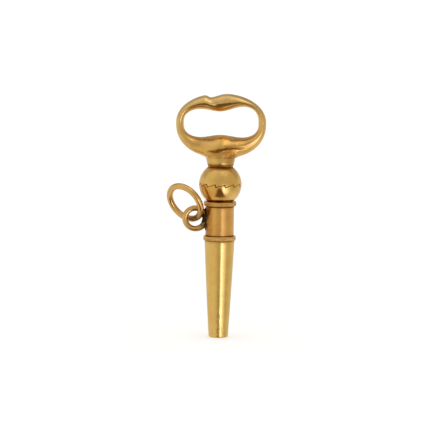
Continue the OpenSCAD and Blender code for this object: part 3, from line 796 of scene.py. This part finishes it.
def make_bow(name, side):
    """One pressed half of the hollow bow, side -1 in front and 1 behind.

    Its top bar has a slanting pinch and its bottom bar a crease over the foot.
    """
    turns = [0, 2, 5, 9, 14, 20, 26] + span(FOOT_TURN, 90, 26) + span(94, 172, 22) + [175, 178, 180]
    rings = []
    for i in range(BOW_STEPS):
        t = TAU * (i + 0.5) / BOW_STEPS
        outer, inner = bow_outline(t)
        mid = (outer + inner) / 2
        h = (outer - inner).length / 2
        along = (outer - inner).normalized()
        top = math.sin(t) > 0
        bar = abs(math.sin(t))
        d = (BOW_SIDE + (BOW_BAR - BOW_SIDE) * bar**1.5) / 2
        # Bend and ridge of the section's outer and inner side. An ellipse has 2 and 0.5.
        if top:
            outside = inside = (2 - 0.46 * bar, 0.5 + 0.15 * bar)
            blunt = ridge_up = stands = 0.0
        else:
            outside, inside = (2.0, 0.5), (2 - 0.7 * bar, 0.5 + 0.3 * bar)
            mid_across = -side * mid.x
            blunt = BLUNT * bar + SWELLING * bell(mid_across - SWELLING_X, SWELLING_W)
            ridge_up = RIDGE_UP * fade(mid_across, -0.5, 2.0) * (1 - fade(mid_across, 6.0, 8.0))
            stands = 1 - fade(abs(outer.x), NECK_TOP_R, NECK_TOP_R + 1.2)
            d += (BOW_NOSE - BOW_BAR) / 2 * bell(mid.x, NOSE_RUN) * bar

        def surface(v, wall):
            """Point, grime and redness of the section at the turn v, under a wall."""
            bend, ridge = outside if v < 90 else inside
            side_h = h - ridge_up if v > 90 else h + ridge_up
            a = side_h * spow(math.cos(math.radians(v)), 2 / bend)
            if v < 90:
                a += stands * (side_h * min(1.0, (90 - v) / (90 - FOOT_TURN)) - a)
            u = min(1.0, abs(a) / side_h)
            deep = d * (1 - u**bend) ** ridge
            if a < 0:
                deep += blunt * (d * math.sqrt(1 - u**8) - deep)
            a -= ridge_up
            x, z = mid.x + along.x * a, mid.y + along.y * a
            across = -side * x
            dirt_and_shade, warm = (0.0, 0.0) if top else bar_shade_and_glow(a, across, bar)
            if top:
                k = 0.5 + 0.5 * a / h
                deep *= 1 - 0.12 * bell(x - (DIP_X * k + 0.3 * (1 - k)), 1.3)
            elif a > -0.6 and abs(x) < BOW_W / 3:
                rise = z + BOW_FOOT
                under = CREASE + CREASE_RISE * fade(across, -1.0, 1.3) - rise
                ends = fade(across, -3.2, -1.8) * (1 - fade(across, 3.2, 5.2))
                if v < 90:
                    shelf = fade(across, -3.2, -0.4) * (1 - fade(across, 1.8, 3.4))
                    deep = footed(deep, x, rise, shelf * fade(under, -0.3, 0.4))
                deep -= CREASE_DEPTH * ends * bell(under, CREASE_W) * fade(across, 1.0, 2.6)
                # Under the crease: a dark line of grime and painted shade along it, painted brown shade on
                # the foot below the bulge, and a painted reddish reflection in the lamp-lit patch
                below = fade(under, -0.1, 0.2)
                ruddy = fade(across, 0.0, 0.9) * (1 - fade(across, 2.4, 3.2))
                brown = 0.25 * bell(across, 2.2) + 0.5 * ruddy
                line = bell(under, 0.2 + 0.3 * bell(across - 1.2, 1.2)) * fade(across, -3.4, -1.0)
                dirt_and_shade = max(dirt_and_shade, ends * line, brown * below)
                warm = max(warm, 0.75 * ruddy * below)
            if v < FOOT_TURN and stands == 1:
                deep *= v / FOOT_TURN
            shrink = 1 - wall / h
            x, z = mid.x + along.x * a * shrink, mid.y + along.y * a * shrink
            return x, z, max(0.0, deep - wall), dirt_and_shade, warm

        ring = []
        for v in turns:
            x, z, deep, dirt_and_shade, warm = surface(v, 0.0)
            lumpy = 0.008 * lumps(x, 3 * side, z, 1.6) * fade(deep, 0.1, 0.5)
            dirt_and_shade = max(dirt_and_shade, 0.5 * (1 - fade(deep, 0.0, 0.06)) * (1 - stands))
            ring.append((x, side * (SEAM + deep + lumpy), Z_BOW + z, min(1.0, dirt_and_shade), warm))
        # The inside wall is darkened as painted shade
        for v in reversed(turns):
            x, z, deep, *_ = surface(v, BOW_WALL)
            ring.append((x, side * (SEAM + deep), Z_BOW + z, 0.6))
        rings.append(ring)
    return skin(name, (rings, True), sharp=42)


def make_spring(low, high):
    """Wound round wire with closed, ground ends, from one washer to the other."""
    coil = SPRING_R - SPRING_WIRE_R
    rings = []
    for i in range(COIL_STEPS + 1):
        share = i / COIL_STEPS
        u = TAU * SPRING_TURNS * share
        closed = 0.16 * fade(share, 0.0, 0.18) + 0.16 * fade(share, 0.82, 1.0)
        rise = closed + 0.68 * fade(share, 0.08, 0.92)
        z = low + SPRING_WIRE_R + (high - low - 2 * SPRING_WIRE_R) * rise
        ring = []
        for j in range(SPRING_WIRE_STEPS):
            b = TAU * j / SPRING_WIRE_STEPS
            r = coil + SPRING_WIRE_R * math.cos(b)
            ring.append((*polar(r, u), z + SPRING_WIRE_R * math.sin(b), 0.1))
        rings.append(ring)
    return skin("spring", (rings, False))


place(make_barrel(), "barrel", "barrel_sheath", BARREL_GOLD)
# The upper rim is painted darker all over, as a painted reflection of the dark under the ball
rim_lower = make_rim("rim_lower", Z_LOW_COLLAR + COLLAR_H / 2, painted_shade=0.0)
rim_upper = make_rim("rim_upper", Z_UP_COLLAR + COLLAR_H / 2, painted_shade=0.15)
place(rim_lower, "barrel", "lower_milled_rim", COLLAR_GOLD)
place(rim_upper, "barrel", "upper_milled_rim", COLLAR_GOLD)
place(make_sleeve(), "swivel", "swivel_sleeve", SLEEVE_GOLD)
place(make_loop(), "swivel", "chain_loop", CHAIN_GOLD)
place(make_ring(), "ring", "chain_ring", CHAIN_GOLD)
place(make_ball("ball_lower", False), "barrel", "lower_ball_half", BALL_GOLD)
place(make_ball("ball_upper", True), "head", "upper_ball_half", CROWN_GOLD)
place(make_neck(), "head", "neck", NECK_GOLD)
place(make_bow("bow_front", -1), "head", "bow_front_half", BOW_GOLD)
place(make_bow("bow_back", 1), "head", "bow_back_half", BOW_GOLD)

spring_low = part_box("keyed_washer")[1].z / MM + SOLDER
spring_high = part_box("top_washer")[0].z / MM - SOLDER
spring = place(make_spring(spring_low, spring_high), "lifter", "ratchet_spring", STEEL)
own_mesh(spring)

# The nodes that keep their CAD mesh get only a look
LOOKS = {"collar_gold": COLLAR_GOLD, "bow_gold": BOW_GOLD, "inner_brass": INNER_BRASS, "steel": STEEL}
for part in frame["record"]["subparts"]:
    node = frame["nodes"][part["node"]]
    if not node.hide_render:
        node.data.materials.clear()
        node.data.materials.append(LOOKS[part["material_slot"]])


def seen_by(t):
    """Two masks: the rays that metal or glass throws, and those together with the camera's."""
    rays = t.node("LightPath").outputs
    shiny = t.math("MAXIMUM", rays["Is Glossy Ray"], rays["Is Transmission Ray"])
    return shiny, t.math("MAXIMUM", rays["Is Camera Ray"], shiny)


def make_floor():
    """Plain pale floor, seen white by the camera except where the key shades it."""
    radius, thick = 4000, 2.0
    around = [TAU * j / FLOOR_STEPS for j in range(FLOOR_STEPS)]
    edges = ((radius, -thick), (radius, 0.0), (radius / 8, 0.0), (40, 0.0), (5, 0.0))
    floor = skin("floor", ([[(*polar(r, u), z, 0.0) for u in around] for r, z in edges], False))
    look = bpy.data.materials.new("pale_floor")
    look.use_nodes = True
    t = Tree(look.node_tree)
    at = t.node("TexCoord").outputs["Object"]
    paper = t.node("BsdfDiffuse")
    fibre = t.mix(t.noise(at, 300, 3.0), rgb(0.9, 0.9, 0.895), rgb(0.88, 0.88, 0.875))
    t.put(paper.inputs["Color"], fibre)
    glow = t.node("Emission")
    t.put(glow.inputs["Strength"], t.product(seen_by(t)[1], 0.34))
    both = t.node("AddShader")
    t.put(both.inputs[0], paper.outputs["BSDF"])
    t.put(both.inputs[1], glow.outputs["Emission"])
    t.put(t.node("OutputMaterial").inputs["Surface"], both.outputs["Shader"])
    floor.data.materials.append(look)
    floor.visible_glossy = False


def make_studio():
    """White surroundings for the camera.

    Metal sees the same white studio with its soft lamp low on the right and the dark gap below the camera.
    """
    world = bpy.data.worlds.new("studio")
    bpy.context.scene.world = world
    world.use_nodes = True
    t = Tree(world.node_tree)
    toward = t.node("SeparateXYZ")
    t.put(toward.inputs[0], t.node("TexCoord").outputs["Generated"])
    x, y, z = toward.outputs
    turn = t.math("ARCTAN2", x, t.math("MULTIPLY", y, -1.0))
    rise = t.math("ARCSINE", z)
    below = t.math("MAXIMUM", t.math("MULTIPLY", z, -1.0), 0.0)

    # The lamp's bright tube and the cloth around it
    tube = t.product(t.step(turn, 0.16, 0.28), t.fall(turn, 0.34, 0.66))
    cloth = t.product(t.step(turn, 0.14, 0.3), t.fall(turn, 0.45, 1.2))
    lamp = t.product(
        t.sum(t.product(tube, 0.75), cloth), t.step(rise, -1.06, -0.62), t.fall(rise, -0.22, -0.06)
    )

    # The dark gap, a wedge that widens downwards, in front only
    off = t.math("ABSOLUTE", t.sum(x, 0.08, t.product(below, -0.085)))
    inside = t.math("SUBTRACT", off, t.sum(0.015, t.product(below, 0.387)))
    gap = t.product(t.fall(inside, -0.04, 0.1), t.step(below, 0.17, 0.38), t.fall(y, -0.44, -0.14))

    # The walls, brighter on the left, on the right and above, and darker behind
    left = t.step(turn, -0.22, -0.8)
    right = t.step(turn, 1.2, 2.2)
    above = t.product(t.step(z, 0.7, 0.95), t.fall(y, 0.0, 0.25), t.step(x, -0.1, 0.25, 0.6, 4.6))
    behind = t.product(t.step(y, 0.05, 0.3), t.step(z, 0.1, 0.4))
    wall = t.sum(
        0.6, t.product(left, 0.17), t.product(right, 0.12), t.product(above, 0.16), t.product(behind, -0.25)
    )
    corner = t.product(t.step(x, 0.25, 0.7), t.step(below, 0.25, 0.6), 0.14)
    shade = t.sum(wall, t.product(lamp, t.math("SUBTRACT", 1.0, gap)), corner)

    shiny, seen = seen_by(t)
    white = t.node("Background")
    air = t.mix(t.step(z, 0.4, 0.95), rgb(1.0, 0.975, 0.93), rgb(0.99, 1.0, 1.08))
    air = t.mix(t.math("MINIMUM", lamp, 1.0), air, rgb(0.9, 0.97, 1.4))
    air = t.mix(gap, air, rgb(0.26, 0.165, 0.1))
    t.put(white.inputs["Color"], t.mix(shiny, rgb(1.0, 1.0, 1.0), air))
    t.put(white.inputs["Strength"], t.sum(t.product(shiny, shade), t.math("SUBTRACT", 1.0, shiny)))
    soft = t.node("Background")
    soft.inputs["Color"].default_value = rgb(1.0, 0.99, 0.97)
    soft.inputs["Strength"].default_value = 0.8
    choice = t.node("MixShader")
    t.put(choice.inputs[0], seen)
    t.put(choice.inputs[1], soft.outputs["Background"])
    t.put(choice.inputs[2], white.outputs["Background"])
    t.put(t.node("OutputWorld").inputs["Surface"], choice.outputs["Shader"])


def make_camera():
    """Long lens in front of the key and a little above it, with the photograph's slight tilt."""
    aim = Vector((-0.7, 0, 22.39)) * MM
    rise, tilt = math.radians(6.5), math.radians(0.8)
    away, view_w, sensor = 600, 79.27, 36
    data = bpy.data.cameras.new("camera")
    camera = bpy.data.objects.new("camera", data)
    bpy.context.scene.collection.objects.link(camera)
    camera.location = aim + away * MM * Vector((0, -math.cos(rise), math.sin(rise)))
    camera.rotation_mode = "QUATERNION"
    facing = (aim - camera.location).to_track_quat("-Z", "Y")
    camera.rotation_quaternion = facing @ Quaternion((0, 0, 1), tilt)
    data.sensor_width = sensor
    data.lens = sensor * away / view_w
    data.clip_start, data.clip_end = 0.01, 20
    bpy.context.scene.camera = camera


make_floor()
make_studio()
make_camera()
bpy.context.scene.view_settings.view_transform = "Standard"
